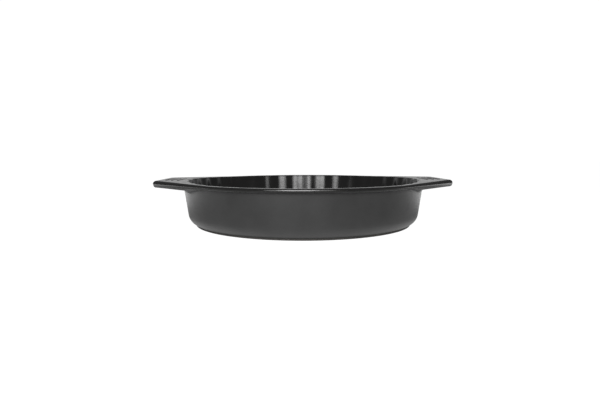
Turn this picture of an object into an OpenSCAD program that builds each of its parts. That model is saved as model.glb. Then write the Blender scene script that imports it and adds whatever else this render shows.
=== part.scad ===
// Round fluted baking dish in glazed stoneware, with a wide lug on either side.
// Millimetres. The origin is the middle of the foot, on the table, and +Z is up.
// +X runs through the lugs. The clay is one piece. Three glaze coats lie on it,
// and the foot ring that it stands on is bare.

/* [Bowl] */
// Outside diameter of the rim
rim_d = 280; // [240:1:310]
// Height of the rim's top above the table
height = 49; // [44:0.5:60]
// Lean of the wall from upright, in degrees
draft = 8.2; // [5:0.1:10]
// How far the lip stands out past the wall
lip_overhang = 3.1; // [2.6:0.1:4]
// Thickness of the lip
lip_t = 4.2; // [3.6:0.1:5]
// Wall thickness behind the flutes
wall_t = 5.1; // [4.5:0.1:6.5]
// Outside radius between the wall and the base
corner_r = 13.2; // [10:0.1:16]
// Radius between the wall and the floor inside
fillet_r = 9; // [6:0.5:10]
// Thickness of the clay in the floor
floor_t = 5.6; // [4.5:0.1:7]

/* [Foot] */
// Outside diameter of the foot ring
foot_d = 248; // [236:1:250]
// Width of the foot ring
foot_w = 7; // [5:0.5:12]
// Height of the base's underside above the table
foot_h = 1; // [0.8:0.1:1.8]

/* [Flutes] */
// Number of flutes round the wall
flute_count = 36; // [24:1:38]
// Depth of a flute
flute_depth = 1.5; // [1:0.1:1.6]
// Radius across a flute
flute_r = 28; // [20:1:36]
// Height of the flutes' lower ends above the floor's fillet
toe_rise = 1.5; // [1:0.1:4]
// Turn of the flutes round the dish from a rib at its middle, in degrees
flute_turn = -0.9; // [-5:0.1:5]

/* [Lugs] */
// Length of the dish over both lugs
lug_span = 332; // [320:1:350]
// Width of a lug at its outer end
lug_end_w = 78; // [60:1:100]
// Thickness of a lug
lug_t = 7.6; // [6.5:0.1:9]
// Radius of a lug's outer corners, seen from above
lug_corner_r = 5.2; // [5:0.1:9]
// Rise of a lug from the rim to its end
lug_rise = 1.9; // [0.5:0.1:3]
// How far a lug's sides run into the lip
lug_bite = 1.2; // [0.6:0.1:2]
// Number of raised grip bars on each lug
grip_count = 3; // [2:1:3]
// Distance from bar to bar
grip_pitch = 6.5; // [5:0.5:7]
// Distance from the outer bar to the lug's end
grip_inset = 11; // [9:0.5:13]
// Straight length of a bar
grip_l = 42; // [20:1:50]
// Radius across a bar
grip_r = 2.2; // [1.6:0.1:2.6]
// How far a bar stands above the lug
grip_rise = 0.45; // [0.3:0.05:0.8]

/* [Glaze] */
// Thickness of the glaze coats
glaze_t = 0.5; // [0.3:0.05:0.6]

/* [Hidden] */
$fn = 144;
edge_fn = 16;
bar_fn = 32;
overrun = 1;

rim_r = rim_d / 2;
nose_r = lip_t / 2;
lug_nose_r = lug_t / 2;
foot_r = foot_d / 2;
lip_z = height - lip_t;
floor_z = foot_h + glaze_t + floor_t;
glazed_rim_z = height - glaze_t;

// Outer radius of the wall at height z. A coat of thickness g lies on it.
function wall_r(z, g) = rim_r - lip_overhang - (lip_z - z) * tan(draft) + g / cos(draft);

// Inner radius of the wall in the valley of a flute.
function valley_r(z, g) = wall_r(z, g) - wall_t;
function land_r(z, g) = valley_r(z, g) - flute_depth;

corner_z = foot_h + corner_r;
corner_x = wall_r(corner_z, 0) - corner_r / cos(draft);
fillet_z = floor_z + fillet_r;
fillet_x = land_r(fillet_z, 0) - fillet_r / cos(draft);

// The flutes' axes lean with the wall, and each flute ends in a round toe above the fillet.
flute_x = valley_r(height, 0) - flute_r / cos(draft);
toe_length = sqrt(2 * flute_r * flute_depth);
toe_depth = height - fillet_z - toe_rise - toe_length - flute_r * sin(draft);
flute_half_w_share = 0.97;
flute_half_w = flute_half_w_share * land_r(fillet_z, 0) * tan(180 / flute_count);

// Plan of a lug: the centre of its outer corner, and where its side meets the rim.
lug_x = lug_span / 2 - lug_corner_r;
lug_y = lug_end_w / 2 - lug_corner_r;
lug_angle = atan2(lug_y, lug_x) + acos((rim_r - lug_corner_r) / norm([lug_x, lug_y]));
lug_root_r = wall_r(height - lug_t, 0) - lip_t;
lug_top_z = height + lug_t;

// Height of a lug's upper side at x. It is flat from its roots on the lip to its outer end.
lug_start_x = (rim_r - lug_bite - nose_r) * cos(lug_angle);
lug_flat_x = lug_x - lug_corner_r + lug_nose_r;
function lug_z(x) = height + lug_rise * (x - lug_start_x) / (lug_flat_x - lug_start_x);

// Half section of a pan that leans by the draft, with a round corner at (x, z).
module pan_section(x, z, r, top_r, top_z) {
    polygon([
        [0, z - r], [x, z - r],
        [x + r * cos(draft), z - r * sin(draft)],
        [top_r, top_z], [0, top_z]
    ]);
    translate([x, z]) intersection() {
        circle(r);
        translate([0, -r]) square([r, r]);
    }
}

// The wall's outside, grown by g.
module wall(g) {
    top = height - nose_r;
    rotate_extrude() pan_section(corner_x, corner_z, corner_r + g, wall_r(top, g), top);
}

// The lip round the rim, as a disc with a round edge.
module lip(g) {
    rotate_extrude() {
        translate([0, lip_z - g]) square([rim_r - nose_r, lip_t + 2 * g]);
        translate([rim_r - nose_r, height - nose_r]) circle(nose_r + g);
    }
}

// A disc with a full round edge, centred on its mid height.
module round_disc(r, t) {
    rotate_extrude($fn = edge_fn) {
        translate([0, -t / 2]) square([r - t / 2, t]);
        intersection() {
            translate([r - t / 2, 0]) circle(t / 2, $fn = edge_fn);
            translate([0, -t / 2]) square([r, t]);
        }
    }
}

// A bar with round ends, along Y.
module round_bar(l, r) {
    rotate([90, 0, 0]) rotate_extrude($fn = bar_fn) {
        translate([0, -l / 2]) square([r, l]);
        for (end = [-1, 1]) translate([0, end * l / 2]) intersection() {
            circle(r, $fn = bar_fn);
            translate([0, -r]) square([r, 2 * r]);
        }
    }
}

// The raised bars on one lug, which give the fingers a hold.
module grips(g) {
    for (i = [0:grip_count - 1]) {
        x = lug_span / 2 - grip_inset - i * grip_pitch;
        translate([x, 0, lug_z(x) + grip_rise - grip_r]) round_bar(grip_l, grip_r + g);
    }
}

// One lug: two thick outer corners, drawn in to the lip and down into the wall.
module lug(g) {
    grips(g);
    hull() for (side = [-1, 1]) {
        translate([lug_x, side * lug_y, height + lug_rise - lug_nose_r])
            round_disc(lug_corner_r + g, lug_t + 2 * g);
        rotate([0, 0, side * lug_angle]) {
            translate([rim_r - lug_bite - nose_r, 0, height - nose_r])
                sphere(nose_r + g, $fn = edge_fn);
            translate([lug_root_r, 0, height - lug_t + nose_r]) sphere(nose_r + g, $fn = edge_fn);
        }
    }
}

module lugs(g) {
    lug(g);
    mirror([1, 0, 0]) lug(g);
}

// One flute of the inner wall, grown by g and open at the top.
module flute(g) {
    r = flute_r + g;
    translate([flute_x, 0, height]) rotate([0, draft, 0]) intersection() {
        translate([0, 0, -toe_depth]) rotate_extrude() {
            square([r, height]);
            intersection() {
                circle(r);
                translate([0, -r]) square([r, r]);
            }
        }
        translate([flute_r - 2 * flute_depth, -flute_half_w, -height])
            cube([3 * flute_depth, 2 * flute_half_w, 2 * height]);
    }
}

// The fluted hollow up to height top_z, grown by g.
module hollow(g, top_z) {
    mouth_z = height + overrun;
    intersection() {
        union() {
            rotate_extrude()
                pan_section(fillet_x, fillet_z, fillet_r + g, land_r(mouth_z, g), mouth_z);
            for (i = [0:flute_count - 1])
                rotate([0, 0, flute_turn + (i + 0.5) * 360 / flute_count]) flute(g);
        }
        cylinder(h = top_z, r = rim_r);
    }
}

// The inside of the rim, above the flutes' upper ends.
module mouth(g, bottom_z, top_z) {
    translate([0, 0, bottom_z]) cylinder(h = top_z - bottom_z, r = valley_r(height, g));
}

// The lugs in clay. They end inside the wall and the lip, clear of the flutes.
module clay_lugs() {
    difference() {
        lugs(-glaze_t);
        wall(-wall_t / 2);
        mouth(glaze_t, lip_z, lug_top_z);
    }
}

// The outside of the clay without the foot. The coats lie on it.
module clay_outside() {
    wall(-glaze_t);
    lip(-glaze_t);
    clay_lugs();
}

module foot() {
    cylinder(h = corner_r, r = foot_r);
}

module foot_recess(bottom_z) {
    translate([0, 0, bottom_z]) cylinder(h = foot_h + glaze_t - bottom_z, r = foot_r - foot_w);
}

module stoneware_body() {
    color("#5b5650") difference() {
        union() {
            clay_outside();
            foot();
        }
        hollow(glaze_t, glazed_rim_z);
        foot_recess(-overrun);
    }
}

// The glossy coat inside, and over the flutes' edge on the rim.
module interior_glaze() {
    color("#17171a") difference() {
        union() {
            hollow(glaze_t, glazed_rim_z);
            mouth(glaze_t, glazed_rim_z, height);
        }
        hollow(0, height + overrun);
    }
}

// The glossy coat over the lip and the upper side of the lugs, down to the glaze line.
module rim_glaze() {
    color("#1d1d20") difference() {
        intersection() {
            union() {
                lip(0);
                lugs(0);
            }
            translate([0, 0, lip_z]) cylinder(h = lug_top_z - lip_z, r = lug_span);
        }
        clay_outside();
        mouth(glaze_t, lip_z, height);
        mouth(0, lip_z, lug_top_z);
    }
}

// The satin coat outside, from the glaze line to the foot.
module exterior_glaze() {
    color("#4a4a4c") difference() {
        intersection() {
            union() {
                wall(0);
                lugs(0);
            }
            cylinder(h = lip_z, r = lug_span);
        }
        wall(-glaze_t);
        lugs(-glaze_t);
        foot();
    }
}

// The satin coat on the underside, inside the foot ring.
module base_glaze() {
    color("#454547") foot_recess(foot_h);
}

stoneware_body();
interior_glaze();
rim_glaze();
exterior_glaze();
base_glaze();
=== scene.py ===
import math
from functools import lru_cache

import bmesh
import bpy
from mathutils import Matrix, Vector, noise


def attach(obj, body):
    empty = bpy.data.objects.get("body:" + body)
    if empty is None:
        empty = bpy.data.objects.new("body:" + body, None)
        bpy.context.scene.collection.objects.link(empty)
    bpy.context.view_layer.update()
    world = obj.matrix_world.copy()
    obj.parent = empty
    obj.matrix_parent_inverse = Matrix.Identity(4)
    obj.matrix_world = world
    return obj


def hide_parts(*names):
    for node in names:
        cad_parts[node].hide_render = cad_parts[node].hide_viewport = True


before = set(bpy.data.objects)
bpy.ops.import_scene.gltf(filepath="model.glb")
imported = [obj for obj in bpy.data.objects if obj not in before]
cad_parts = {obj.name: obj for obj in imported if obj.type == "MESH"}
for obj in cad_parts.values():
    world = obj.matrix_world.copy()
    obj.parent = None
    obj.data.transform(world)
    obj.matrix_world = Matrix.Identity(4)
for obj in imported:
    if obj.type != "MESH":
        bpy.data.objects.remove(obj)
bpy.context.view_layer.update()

# Sizes of the dish in millimetres, as in the part's source.
MM = 0.001
RIM_R = 140.0
HEIGHT = 49.0
LEAN = math.radians(8.2)
LIP_T = 4.2
LIP_OVERHANG = 3.1
WALL_T = 5.1
CORNER_R = 13.2
FILLET_R = 9.0
FLOOR_Z = 7.1
FOOT_R = 124.0
FOOT_W = 7.0
FOOT_H = 1.0
GLAZE_T = 0.5
FLUTES = 36
FLUTE_DEPTH = 1.5
FLUTE_R = 28.0
FLUTE_TURN = math.radians(-0.9)
TOE_TOP = 30.9
LUG_END = 166.0
LUG_HALF_W = 39.0
LUG_T = 7.6
LUG_CORNER_R = 5.2
LUG_RISE = 1.9
LUG_START = 93.7
LUG_FLAT = 159.4
GRIP_X = (155.0, 148.5, 142.0)
GRIP_L = 42.0
GRIP_R = 2.2
GRIP_RISE = 0.44
LIP_Z = HEIGHT - LIP_T
NOSE_R = LIP_T / 2

# The rim: its rounded inner edge, its crest, and the ring where the two glossy coats meet.
EDGE_R = 1.2
EDGE_GAP = 0.1
RIM_IN_R = 131.5
RING_R = 134.0
CREST_R = 137.7
CROWN = 0.10
CROWN_IN_R = 131.0
CROWN_LIMIT = 1.2

# How softly the lugs' rise and the flutes' toes set in.
RISE_BLEND = 6.0
RISE_TRIM = 0.1
RISE_END_BLEND = 0.1
RISE_REACH = 20
TOE_BLEND = 0.2
TOE_TRIM = 0.01

# The lugs' sides slant in under their edge. Their underside falls a little towards the wall.
SIDE_IN = 5.7
SIDE_DROP = 0.6
SIDE_ROOM = 1.0
SIDE_BLEND = 1.0
SIDE_SHARES = (0.2, 0.85)
UNDER_FALL = 0.027
LIP_COVE = 0.4
LUG_COVE = 3.3
COVE_SHARES = (0.0, 0.45)
COVE_LIMIT = 0.92

# The glaze line's depth below the edge's top, and its wander: size, amount and seed.
GLAZE_LINE = 4.0
GLAZE_SPREAD = 1.1
GLAZE_LIMIT = 0.97
WANDER = ((9, 0.18, 1.3), (2.5, 0.10, 7.1))

# The clay: the bare foot ring, and the core that the coats hide.
RING_IN = FOOT_R - FOOT_W
RING_EDGE_R = 0.6
RING_TOP = 2.2
RING_SEAM = 0.05
CORE = 1.3
CORE_LEAN = 0.6
CORE_NECK = (0.4, 2.9)
CORE_CORNER = (2.2, 8.6)
CORE_OUT_Z = (16.0, 44.0)
CORE_TOP = 47.0
CORE_IN_Z = 18.0
BASE_GAP = 0.1
BASE_SEAM = 0.02

# Steps of the skins round the axis, closer together at the lugs' corners.
STEPS = 20 * FLUTES
SAMPLES = 40 * STEPS
CROWDING = 2
CROWDED_W = math.radians(2.2)
TURNED_STEPS = 360
ROW_START = 1.0
ROW_WELD = 1e-4
WELD = 1e-6
LEAST_GAP = 1e-6

# Stations of the skins, and the number of rings in each stretch.
FLOOR_RADII = (0, 10, 25, 40, 55, 70, 85, 100, 110)
INNER_FLAT_SHARES = (0.35, 0.7, 1.0)
WALL_LOW = 15.2
FILLET_RINGS = 12
INNER_WALL_RINGS = 30
INNER_EDGE_RINGS = 8
RIM_FLAT_RINGS = 22
RIM_EDGE_RINGS = 16
LOW_EDGE_RINGS = 10
UNDER_RINGS = 12
COVE_RINGS = 10
OUTER_WALL_RINGS = 16
CORNER_RINGS = 14
CORE_FILLET_STEPS = 8
RING_EDGE_STEPS = 4
BAR_SEGMENTS = 32
BAR_RINGS = 24


def wall_r(z):
    """Outer radius of the wall at height z."""
    return RIM_R - LIP_OVERHANG - (LIP_Z - z) * math.tan(LEAN)


def valley_r(z):
    """Inner radius of the wall in the valley of a flute."""
    return wall_r(z) - WALL_T


CORNER_Z = FOOT_H + CORNER_R
CORNER_X = wall_r(CORNER_Z) - CORNER_R / math.cos(LEAN)
CORNER_END = -math.acos((FOOT_R - CORNER_X) / CORNER_R)
FILLET_Z = FLOOR_Z + FILLET_R
FILLET_X = valley_r(FILLET_Z) - FLUTE_DEPTH - FILLET_R / math.cos(LEAN)

# The lug's outer corner in plan, and the direction its side faces, tangent to the rim.
LUG_C = Vector((LUG_END - LUG_CORNER_R, LUG_HALF_W - LUG_CORNER_R))
LUG_SIDE = math.atan2(LUG_C.y, LUG_C.x) + math.acos((RIM_R - LUG_CORNER_R) / LUG_C.length)


def soft_max(a, b, width):
    """The larger of two lengths, rounded where they meet."""
    d = a - b
    return (a + b + math.sqrt(d * d + width * width)) / 2


def ease(x, low, high):
    """Goes smoothly from 0 at low to 1 at high."""
    t = min(max((x - low) / (high - low), 0.0), 1.0)
    return t * t * (3 - 2 * t)


def arc(low, high, count):
    return [low + (high - low) * k / count for k in range(count + 1)]


def direction(angle):
    return Vector((math.cos(angle), math.sin(angle)))


def ragged(angle, size, amount, seed):
    """A wander round the dish that closes on itself."""
    place = Vector((math.cos(angle), math.sin(angle), seed)) * (RIM_R / size)
    return amount * noise.noise(place)


@lru_cache(maxsize=None)
def outline(angle):
    """Plan of rim and lugs at an angle: the edge's place, the way it faces, how far it is lug."""
    a = math.atan2(math.sin(angle), math.cos(angle))
    flip_x = -1 if abs(a) > math.pi / 2 else 1
    flip_y = -1 if a < 0 else 1
    a = abs(a)
    a = min(a, math.pi - a)
    ray, side = direction(a), direction(LUG_SIDE)
    corner_low = math.atan2(LUG_C.y, LUG_END)
    tip = LUG_C + LUG_CORNER_R * side
    corner_high = math.atan2(tip.y, tip.x)
    if a <= corner_low:
        edge, out, lug = ray * (LUG_END / ray.x), Vector((1, 0)), 1.0
    elif a <= corner_high:
        along = ray.dot(LUG_C)
        edge = ray * (along + math.sqrt(LUG_CORNER_R ** 2 - LUG_C.length_squared + along ** 2))
        out, lug = (edge - LUG_C).normalized(), 1.0
    elif a <= LUG_SIDE:
        edge, out = ray * (RIM_R / ray.dot(side)), side
        lug = math.tan(LUG_SIDE - a) / math.tan(LUG_SIDE - corner_high)
    else:
        edge, out, lug = ray * RIM_R, ray, 0.0
    turn = Vector((flip_x, flip_y))
    return edge * turn, out * turn, lug


def top_z(x):
    """Height of the rim's and the lugs' upper side."""
    along = soft_max(abs(x) - LUG_START, 0.0, RISE_BLEND) - RISE_TRIM
    rise = LUG_RISE * along / (LUG_FLAT - LUG_START)
    return HEIGHT - soft_max(-rise, -LUG_RISE, RISE_END_BLEND)


def crown(r):
    """How far the rim's upper side falls from its crest towards the bowl."""
    t = min(max((CREST_R - r) / (CREST_R - CROWN_IN_R), 0.0), CROWN_LIMIT)
    return CROWN * t * t


def hollow_r(angle, z):
    """Inner radius of the fluted wall."""
    drop = min(max(TOE_TOP - z, 0.0), FLUTE_R)
    depth = FLUTE_DEPTH - FLUTE_R + math.sqrt(FLUTE_R ** 2 - drop ** 2)
    depth = soft_max(depth, 0.0, TOE_BLEND) - TOE_TRIM
    wave = 0.5 - 0.5 * math.cos((angle - FLUTE_TURN) * FLUTES)
    return valley_r(z) - FLUTE_DEPTH + depth * wave


def step_angles():
    """The angles of a skin's steps."""
    corner = math.atan2(LUG_HALF_W - LUG_CORNER_R / 2, LUG_END)
    sums = [0.0]
    for k in range(SAMPLES):
        a = (k + 0.5) * 2 * math.pi / SAMPLES
        off = math.asin(abs(math.sin(a))) - corner
        sums.append(sums[-1] + 1 + CROWDING * math.exp(-(off / CROWDED_W) ** 2))
    angles, k = [], 0
    for step in range(STEPS):
        want = sums[-1] * step / STEPS
        while sums[k + 1] <= want:
            k += 1
        share = (want - sums[k]) / (sums[k + 1] - sums[k])
        angles.append((k + share) * 2 * math.pi / SAMPLES)
    return angles


ANGLES = step_angles()


def finished(name, bm):
    """Makes the object, smooth, and sets it on the dish's body."""
    mesh = bpy.data.meshes.new(name)
    for f in bm.faces:
        f.smooth = True
    bm.to_mesh(mesh)
    bm.free()
    piece = bpy.data.objects.new(name, mesh)
    bpy.context.scene.collection.objects.link(piece)
    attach(piece, "root")
    return piece


def skin(name, stations, place, close_pole=False):
    """A surface turned round the axis, a ring for each station, set by place(station, angle)."""
    bm = bmesh.new()
    row = [bm.verts.new((ROW_START + k, 0, 0)) for k in range(len(stations))]
    lines = [bm.edges.new(pair) for pair in zip(row, row[1:])]
    pitch = 2 * math.pi / FLUTES
    turn = {"cent": (0, 0, 0), "axis": (0, 0, 1)}
    bmesh.ops.spin(bm, geom=row + lines, angle=pitch, steps=STEPS // FLUTES, **turn)
    sector = bm.verts[:] + bm.edges[:] + bm.faces[:]
    bmesh.ops.spin(bm, geom=sector, angle=2 * math.pi - pitch, steps=FLUTES - 1,
                   use_duplicate=True, **turn)
    bmesh.ops.remove_doubles(bm, verts=bm.verts, dist=ROW_WELD)
    for v in bm.verts:
        step = round(math.atan2(v.co.y, v.co.x) / (2 * math.pi) * STEPS) % STEPS
        station = stations[round(math.hypot(v.co.x, v.co.y) - ROW_START)]
        v.co = Vector(place(station, ANGLES[step])) * MM
    if close_pole:
        bmesh.ops.remove_doubles(bm, verts=bm.verts, dist=WELD)
    bmesh.ops.recalc_face_normals(bm, faces=bm.faces)
    return finished(name, bm)


def coat(piece, place, facing):
    """Turns a skin so that its face nearest a place looks along facing, and thickens it."""
    mesh = piece.data
    face = min(mesh.polygons, key=lambda f: (f.center - Vector(place) * MM).length)
    if face.normal.dot(Vector(facing)) < 0:
        mesh.flip_normals()
    thick = piece.modifiers.new("coat", "SOLIDIFY")
    thick.thickness = GLAZE_T * MM
    thick.offset = -1
    thick.use_even_offset = True


def turned(name, profile):
    """A solid turned from a closed half section that starts and ends on the axis."""
    bm = bmesh.new()
    row = [bm.verts.new((r * MM, 0, z * MM)) for r, z in profile]
    lines = [bm.edges.new(pair) for pair in zip(row, row[1:])]
    bmesh.ops.spin(bm, geom=row + lines, cent=(0, 0, 0), axis=(0, 0, 1), angle=2 * math.pi,
                   steps=TURNED_STEPS, use_merge=True)
    bmesh.ops.remove_doubles(bm, verts=bm.verts, dist=WELD)
    bmesh.ops.recalc_face_normals(bm, faces=bm.faces)
    return finished(name, bm)


# The inside: floor, fillet, fluted wall, rounded edge and the first of the rim's flat.
inside_stations = (
    [("floor", r) for r in FLOOR_RADII]
    + [("fillet", b) for b in arc(-math.pi / 2, -LEAN, FILLET_RINGS)]
    + [("wall", z) for z in arc(WALL_LOW, HEIGHT - EDGE_R - EDGE_GAP, INNER_WALL_RINGS)]
    + [("edge", b) for b in arc(math.pi - LEAN, math.pi / 2, INNER_EDGE_RINGS)]
    + [("flat", t) for t in INNER_FLAT_SHARES]
)


def inside_place(station, angle):
    kind, s = station
    c = math.cos(angle), math.sin(angle)
    lift = top_z(RIM_IN_R * c[0]) - HEIGHT - crown(RIM_IN_R)
    if kind == "floor":
        r, z = s, FLOOR_Z
    elif kind == "fillet":
        r, z = FILLET_X + FILLET_R * math.cos(s), FILLET_Z + FILLET_R * math.sin(s)
    elif kind == "wall":
        z = s + lift * ease(s, HEIGHT - RISE_REACH, HEIGHT)
        r = hollow_r(angle, z)
    else:
        low = HEIGHT + lift - EDGE_R
        start = hollow_r(angle, low) + EDGE_R * math.cos(LEAN)
        if kind == "edge":
            r, z = start + EDGE_R * math.cos(s), low + EDGE_R * math.sin(s)
        else:
            r = start + (RING_R - start) * s
            z = HEIGHT + lift + (top_z(RING_R * c[0]) - crown(RING_R) - HEIGHT - lift) * s
    return r * c[0], r * c[1], z


@lru_cache(maxsize=None)
def edge_frame(angle):
    """The edge's round: centre in plan, the way it faces, radius, height, how far it is lug."""
    edge, out, lug = outline(angle)
    r = (LIP_T + (LUG_T - LIP_T) * lug) / 2
    middle = edge - out * r
    return middle, out, r, top_z(middle.x) - r, lug


@lru_cache(maxsize=None)
def glaze_angle(r, angle):
    """Where on the edge's round the glossy coat ends."""
    depth = GLAZE_LINE + GLAZE_SPREAD * (r - NOSE_R)
    for size, amount, seed in WANDER:
        depth += ragged(angle, size, amount, seed)
    return math.asin(max(1 - depth / r, -GLAZE_LIMIT))


# The rim: its flat, from the ring outwards, and the edge's round down to the glaze line.
rim_stations = (
    [("flat", t) for t in arc(0, 1, RIM_FLAT_RINGS)]
    + [("edge", t) for t in arc(0, 1, RIM_EDGE_RINGS)][1:]
)


def rim_place(station, angle):
    kind, s = station
    middle, out, r, mid_z, _ = edge_frame(angle)
    if kind == "flat":
        ring = direction(angle) * RING_R
        p = ring + (middle - ring) * s
        return p.x, p.y, top_z(p.x) - crown(p.length)
    b = math.pi / 2 + (glaze_angle(r, angle) - math.pi / 2) * s
    p = middle + out * (r * math.cos(b))
    return p.x, p.y, mid_z + r * math.sin(b)


# The outside: the rest of the edge, the underside of lip and lugs, the wall and its lower corner.
wall_stations = (
    [("edge", t) for t in arc(0, 1, LOW_EDGE_RINGS)]
    + [("under", t) for t in arc(0, 1, UNDER_RINGS)][1:]
    + [("cove", t) for t in arc(0, 1, COVE_RINGS)][1:]
    + [("wall", t) for t in arc(0, 1, OUTER_WALL_RINGS)][1:]
    + [("corner", b) for b in arc(-LEAN, CORNER_END, CORNER_RINGS)][1:]
)


def wall_place(station, angle):
    kind, s = station
    c = direction(angle)
    middle, out, r, mid_z, lug = edge_frame(angle)
    if kind == "corner":
        rr, z = CORNER_X + CORNER_R * math.cos(s), CORNER_Z + CORNER_R * math.sin(s)
        return c.x * rr, c.y * rr, z
    # A lug's side slants in under its edge, as far as the wall leaves room.
    room = (middle - c * wall_r(mid_z - r)).length - SIDE_ROOM
    slant = max(-soft_max(-SIDE_IN * (1 - lug), -room, SIDE_BLEND), 0.0)
    if kind == "edge":
        start = glaze_angle(r, angle)
        b = start + (-math.pi / 2 - start) * s
        shift = slant * ease(s, *SIDE_SHARES)
        p = middle + out * (r * math.cos(b) - shift)
        return p.x, p.y, mid_z + r * math.sin(b) - SIDE_DROP * shift
    middle = middle - out * slant
    edge_low = mid_z - r - SIDE_DROP * slant
    # The underside meets the wall in a cove, which is wider under a lug.
    cove = LIP_COVE + LUG_COVE * ease(lug, *COVE_SHARES)
    root_z = edge_low - UNDER_FALL * max(abs(middle.x) - abs(c.x) * wall_r(edge_low), 0.0)
    root = c * wall_r(root_z)
    gap = middle - root
    width = max(gap.length, LEAST_GAP)
    cove = min(cove, COVE_LIMIT * width)
    toward = gap / width
    if kind == "under":
        p = root + toward * (width + (cove - width) * s)
        return p.x, p.y, edge_low + (root_z - edge_low) * s
    if kind == "cove":
        b = math.pi / 2 * s
        p = root + toward * cove * (1 - math.sin(b))
        z = root_z - cove * (1 - math.cos(b))
        p = p - c * ((root_z - z) * math.tan(LEAN) * s)
        return p.x, p.y, z
    top = root_z - cove
    low = CORNER_Z - CORNER_R * math.sin(LEAN)
    z = top + (low - top) * s
    rr = wall_r(z)
    return c.x * rr, c.y * rr, z


def grip_bars():
    """Low round bars across each lug, sunk so that only their backs stand out."""
    bm = bmesh.new()
    for x in (side * x for side in (-1, 1) for x in GRIP_X):
        ball = bmesh.ops.create_uvsphere(bm, u_segments=BAR_SEGMENTS, v_segments=BAR_RINGS,
                                         radius=GRIP_R * MM)
        centre = Vector((x, 0, top_z(x) + GRIP_RISE - GRIP_R)) * MM
        for v in ball["verts"]:
            half = math.copysign(GRIP_L / 2 * MM, v.co.z)
            v.co = Vector((v.co.x, v.co.z + half, -v.co.y)) + centre
    return finished("grip_bars", bm)


def round_points(x, z, r, low, high, count=RING_EDGE_STEPS):
    """Points of a rounded corner of a half section, about (x, z)."""
    return [(x + r * math.cos(b), z + r * math.sin(b)) for b in arc(low, high, count)]


glossy_inside = skin("glossy_inside", inside_stations, inside_place, close_pole=True)
glossy_rim = skin("glossy_rim", rim_stations, rim_place)
satin_outside = skin("satin_outside", wall_stations, wall_place)
coat(glossy_inside, (RIM_R / 2, 0, FLOOR_Z), (0, 0, 1))
coat(glossy_rim, (0, CREST_R, HEIGHT), (0, 0, 1))
coat(satin_outside, (0, -RIM_R, HEIGHT / 2), (0, -1, 0))
bars = grip_bars()

ring_floor = FOOT_H + GLAZE_T
core_low, core_high = CORE_OUT_Z
clay_body = turned("clay_body", (
    [(0, ring_floor), (RING_IN - RING_SEAM, ring_floor)]
    + round_points(RING_IN + RING_EDGE_R, RING_EDGE_R, RING_EDGE_R, -math.pi, -math.pi / 2)
    + round_points(FOOT_R - RING_EDGE_R, RING_EDGE_R, RING_EDGE_R, -math.pi / 2, 0)
    + [(FOOT_R, RING_TOP), (FOOT_R - CORE_NECK[0], CORE_NECK[1]),
       (FOOT_R + CORE_CORNER[0], CORNER_Z - CORE_CORNER[1]),
       (wall_r(core_low) - CORE, core_low), (wall_r(core_high) - CORE, core_high),
       (wall_r(core_high) - CORE, CORE_TOP), (valley_r(CORE_TOP) + CORE + CORE_LEAN, CORE_TOP),
       (valley_r(CORE_IN_Z) + CORE - CORE_LEAN, CORE_IN_Z)]
    + round_points(FILLET_X, FILLET_Z, FILLET_R + CORE, -LEAN, -math.pi / 2, CORE_FILLET_STEPS)
    + [(0, FLOOR_Z - CORE)]
))

base_r, base_top = RING_IN - BASE_GAP, ring_floor - BASE_SEAM
satin_base = turned("satin_base",
                    [(0, FOOT_H), (base_r, FOOT_H), (base_r, base_top), (0, base_top)])


class Sock:
    """A socket of a material's nodes, so that shader maths reads as plain sums."""

    def __init__(self, shader, out):
        self.shader, self.out = shader, out

    def _math(self, kind, a, b):
        return self.shader.node("ShaderNodeMath", {"operation": kind}, {0: a, 1: b})

    def __add__(self, o): return self._math("ADD", self, o)
    def __radd__(self, o): return self._math("ADD", o, self)
    def __sub__(self, o): return self._math("SUBTRACT", self, o)
    def __rsub__(self, o): return self._math("SUBTRACT", o, self)
    def __mul__(self, o): return self._math("MULTIPLY", self, o)
    def __rmul__(self, o): return self._math("MULTIPLY", o, self)

    def __abs__(self):
        return self.shader.node("ShaderNodeMath", {"operation": "ABSOLUTE"}, {0: self})


class Nodes:
    """A node tree that is made node by node."""

    def __init__(self, tree):
        self.tree = tree
        self.tree.nodes.clear()

    def node(self, kind, settings, inputs, out=0):
        n = self.tree.nodes.new(kind)
        for key, value in settings.items():
            setattr(n, key, value)
        for key, value in inputs.items():
            if isinstance(value, Sock):
                self.tree.links.new(value.out, n.inputs[key])
            else:
                n.inputs[key].default_value = value
        return Sock(self, n.outputs[out])

    def split(self, vector):
        """The three parts of a vector."""
        parts = self.node("ShaderNodeSeparateXYZ", {}, {"Vector": vector}).out.node.outputs
        return [Sock(self, part) for part in parts]

    def band(self, value, places, levels=(0.0, 1.0)):
        """Goes smoothly from one level to the other between two places."""
        return self.node("ShaderNodeMapRange", {"interpolation_type": "SMOOTHSTEP"},
                         {"Value": value, "From Min": places[0], "From Max": places[1],
                          "To Min": levels[0], "To Max": levels[1]}, "Result")

    def seen_by_camera(self):
        return self.node("ShaderNodeLightPath", {}, {}, "Is Camera Ray")

    def close(self, end_kind, surface):
        end = self.tree.nodes.new(end_kind)
        self.tree.links.new(surface.out, end.inputs["Surface"])


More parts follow.
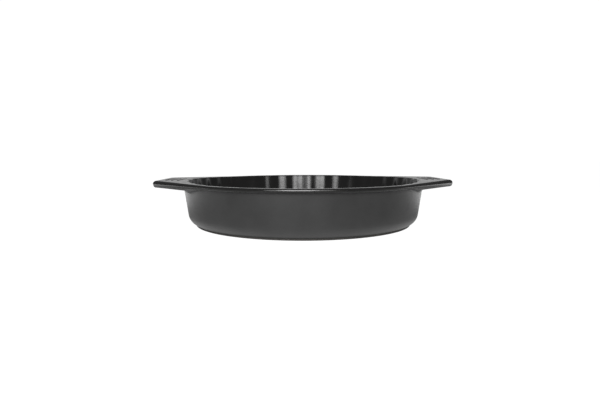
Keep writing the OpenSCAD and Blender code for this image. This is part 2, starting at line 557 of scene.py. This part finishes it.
class Finish(Nodes):
    """A material."""

    def __init__(self, name):
        self.material = bpy.data.materials.new(name)
        self.material.use_nodes = True
        super().__init__(self.material.node_tree)
        self.place = self.node("ShaderNodeTexCoord", {}, {}, "Object")

    def grain(self, size_mm, detail=2.0, rough=0.5):
        return self.node("ShaderNodeTexNoise", {},
                         {"Vector": self.place, "Scale": 1 / MM / size_mm,
                          "Detail": detail, "Roughness": rough}, "Fac")

    def mix(self, share, a, b):
        return self.node("ShaderNodeMix", {"data_type": "RGBA"}, {"Factor": share, 6: a, 7: b}, 2)

    def bump(self, height, strength, distance_mm):
        return self.node("ShaderNodeBump", {},
                         {"Height": height, "Strength": strength, "Distance": distance_mm * MM},
                         "Normal")

    def made(self, **sockets):
        inputs = {key.replace("_", " "): value for key, value in sockets.items()}
        surface = self.node("ShaderNodeBsdfPrincipled", {}, inputs, "BSDF")
        self.close("ShaderNodeOutputMaterial", surface)
        return self.material


GLAZE_IOR = 1.5


def grey(v, warm=0.0):
    return (v * (1 + warm), v, v * (1 - warm), 1.0)


def glossy_black():
    f = Finish("glossy_black_glaze")
    pools = f.grain(14, 3)
    peel = f.grain(2.2, 2)
    fine = f.grain(0.6, 1)
    colour = f.mix(pools, grey(0.006), grey(0.010, 0.02))
    rough = f.band(pools, (0.3, 0.7), (0.12, 0.18)) + 0.05 * fine
    lumps = f.bump(peel + 0.35 * fine, 0.35, 0.12)
    return f.made(Base_Color=colour, Roughness=rough, Normal=lumps, IOR=GLAZE_IOR)


def satin_charcoal():
    f = Finish("satin_charcoal_glaze")
    cloud = f.grain(30, 3)
    speck = f.grain(0.7, 2, 0.7)
    fine = f.grain(0.35, 1)
    colour = f.mix(f.band(cloud + 0.25 * speck, (0.35, 0.85)), grey(0.018), grey(0.026))
    rough = 0.42 + 0.10 * speck
    lumps = f.bump(speck + 0.5 * fine, 0.4, 0.06)
    return f.made(Base_Color=colour, Roughness=rough, Normal=lumps, IOR=GLAZE_IOR)


def bare_clay():
    f = Finish("bare_fired_clay")
    cloud = f.grain(12, 3)
    speck = f.grain(0.8, 2, 0.7)
    shade = f.band(cloud + 0.4 * speck, (0.4, 0.95))
    colour = f.mix(shade, grey(0.022, 0.05), grey(0.045, 0.08))
    lumps = f.bump(speck, 0.6, 0.15)
    return f.made(Base_Color=colour, Roughness=0.75 + 0.1 * speck, Normal=lumps)


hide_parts("interior_glaze")
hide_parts("rim_glaze")
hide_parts("exterior_glaze")
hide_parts("stoneware_body")
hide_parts("base_glaze")

gloss, satin, clay = glossy_black(), satin_charcoal(), bare_clay()
for piece, slot, finish in (
    (glossy_inside, "gloss_glaze_inside", gloss),
    (glossy_rim, "gloss_glaze_rim", gloss),
    (bars, "gloss_glaze_rim", gloss),
    (satin_outside, "satin_glaze_outside", satin),
    (satin_base, "satin_glaze_base", satin),
    (clay_body, "stoneware", clay),
):
    piece.data.materials.append(finish)

# The floor as the dish mirrors it is painted light: a glow with a painted contact shadow near the
# foot and the dish,
# brighter farther out. In metres: where its light changes, and the levels it goes between. Away
# is the distance from the dish's middle.
FLOOR_SIZE = 6.0
PAINTED_FOOT_SHADOW = (0.121, 0.129), (0.1, 1.0)
PAINTED_NEAR_SHADOW = (0.134, 0.165), (0.0, 0.65)
GLOW_FARTHER = (0.19, 0.28), (0.0, 2.3)
GLOW_TO_FRONT = (-0.42, -0.12), (0.15, 1.0)
PAINTED_SHADE_ASIDE = (0.05, 0.17), (0.0, 0.85)
ASIDE_SHIFT = 0.03
IN_FRONT = (-0.04, 0.10), (1.0, 0.0)

# The room as the dish mirrors it, by direction, and how white floor and room are to the camera.
BEHIND = (0.2, 0.9), (0.0, 1.0)
LOW_DOWN = (0.10, 0.30), (1.0, 0.0)
HORIZON_GLOW = 0.46
REST_GLOW = 0.13
FLOOR_WHITE = 1.02
ROOM_WHITE = 1.05

# Soft lights: name, place, size across and upwards in metres, and watts.
LIGHTS = (
    ("front_wide", (-0.10, -1.05, 0.66), (1.2, 0.85), 10),
    ("front_middle", (-0.12, -1.00, 0.63), (0.55, 0.75), 7.6),
    ("front_upper", (-0.08, -0.88, 0.78), (0.55, 0.45), 4.0),
)
LIGHT_AIM = Vector((0, 0, 0.05))

# The photograph's camera, as fitted to its outline: millimetres, degrees and pixels.
CAMERA_AWAY = 530.86
CAMERA_UP = 78.89
CAMERA_ROUND = math.radians(2.090)
CAMERA_HEADING = math.radians(1.698)
CAMERA_PITCH = math.radians(5.762)
CAMERA_ROLL = math.radians(-0.129)
CAMERA_FOCAL_PX = 449.19
CAMERA_NEAR = 0.01
PICTURE_W_PX = 600
SENSOR_W = 36.0


def studio_floor():
    """A white floor, dimmer in reflections near the dish and behind it."""
    bm = bmesh.new()
    bmesh.ops.create_grid(bm, x_segments=1, y_segments=1, size=FLOOR_SIZE)
    mesh = bpy.data.meshes.new("floor")
    bm.to_mesh(mesh)
    bm.free()
    floor = bpy.data.objects.new("floor", mesh)
    bpy.context.scene.collection.objects.link(floor)
    f = Finish("white_floor")
    away = f.node("ShaderNodeVectorMath", {"operation": "LENGTH"}, {0: f.place}, "Value")
    x, y, _ = f.split(f.place)
    seen = f.seen_by_camera()
    aside = f.band(abs(x + ASIDE_SHIFT), *PAINTED_SHADE_ASIDE)
    # Painted contact shadow in the floor's glow: dark right under the foot, a bright ring just
    # outside it, then dimmer out to where the farther, brighter painted light begins, which is
    # dimmed to the front sides.
    near = f.band(away, *PAINTED_FOOT_SHADOW) - f.band(away, *PAINTED_NEAR_SHADOW)
    far = f.band(away, *GLOW_FARTHER) * (1 - aside * f.band(y, *IN_FRONT))
    glow = (near + far) * f.band(y, *GLOW_TO_FRONT) * (1 - seen) + FLOOR_WHITE * seen
    mesh.materials.append(f.made(
        Base_Color=grey(0.04), Roughness=0.9, Specular_IOR_Level=0.0,
        Emission_Color=glow, Emission_Strength=1.0))


def studio_world():
    """Dim all round, with a pale stretch low behind the dish, and plain white to the camera."""
    world = bpy.data.worlds.new("studio")
    bpy.context.scene.world = world
    world.use_nodes = True
    w = Nodes(world.node_tree)
    look = w.node("ShaderNodeTexCoord", {}, {}, "Generated")
    _, y, z = w.split(look)
    glow = REST_GLOW + HORIZON_GLOW * (w.band(y, *BEHIND) * w.band(z, *LOW_DOWN))
    seen = w.seen_by_camera()
    strength = glow * (1 - seen) + ROOM_WHITE * seen
    back = w.node("ShaderNodeBackground", {}, {"Color": (1, 1, 1, 1), "Strength": strength},
                  "Background")
    w.close("ShaderNodeOutputWorld", back)


def soft_light(name, place, size, power):
    data = bpy.data.lights.new(name, "AREA")
    data.shape = "RECTANGLE"
    data.size, data.size_y = size
    data.energy = power
    lamp = bpy.data.objects.new(name, data)
    lamp.location = place
    lamp.rotation_euler = (LIGHT_AIM - Vector(place)).to_track_quat("-Z", "Y").to_euler()
    bpy.context.scene.collection.objects.link(lamp)


def camera():
    """Near the dish and low."""
    level = math.cos(CAMERA_PITCH)
    ahead = Vector((math.sin(CAMERA_HEADING) * level, math.cos(CAMERA_HEADING) * level,
                    -math.sin(CAMERA_PITCH)))
    right = Vector((math.cos(CAMERA_HEADING), -math.sin(CAMERA_HEADING), 0))
    up = right.cross(ahead)
    roll_c, roll_s = math.cos(CAMERA_ROLL), math.sin(CAMERA_ROLL)
    right, up = right * roll_c + up * roll_s, up * roll_c - right * roll_s
    place = Vector((-CAMERA_AWAY * math.sin(CAMERA_ROUND), -CAMERA_AWAY * math.cos(CAMERA_ROUND),
                    CAMERA_UP)) * MM
    data = bpy.data.cameras.new("camera")
    data.sensor_fit, data.sensor_width = "HORIZONTAL", SENSOR_W
    data.lens = SENSOR_W * CAMERA_FOCAL_PX / PICTURE_W_PX
    data.clip_start = CAMERA_NEAR
    cam = bpy.data.objects.new("camera", data)
    turn = Matrix((right, up, -ahead)).transposed().to_4x4()
    cam.matrix_world = Matrix.Translation(place) @ turn
    bpy.context.scene.collection.objects.link(cam)
    bpy.context.scene.camera = cam


studio_floor()
studio_world()
for light in LIGHTS:
    soft_light(*light)
camera()
bpy.context.scene.view_settings.view_transform = "Standard"
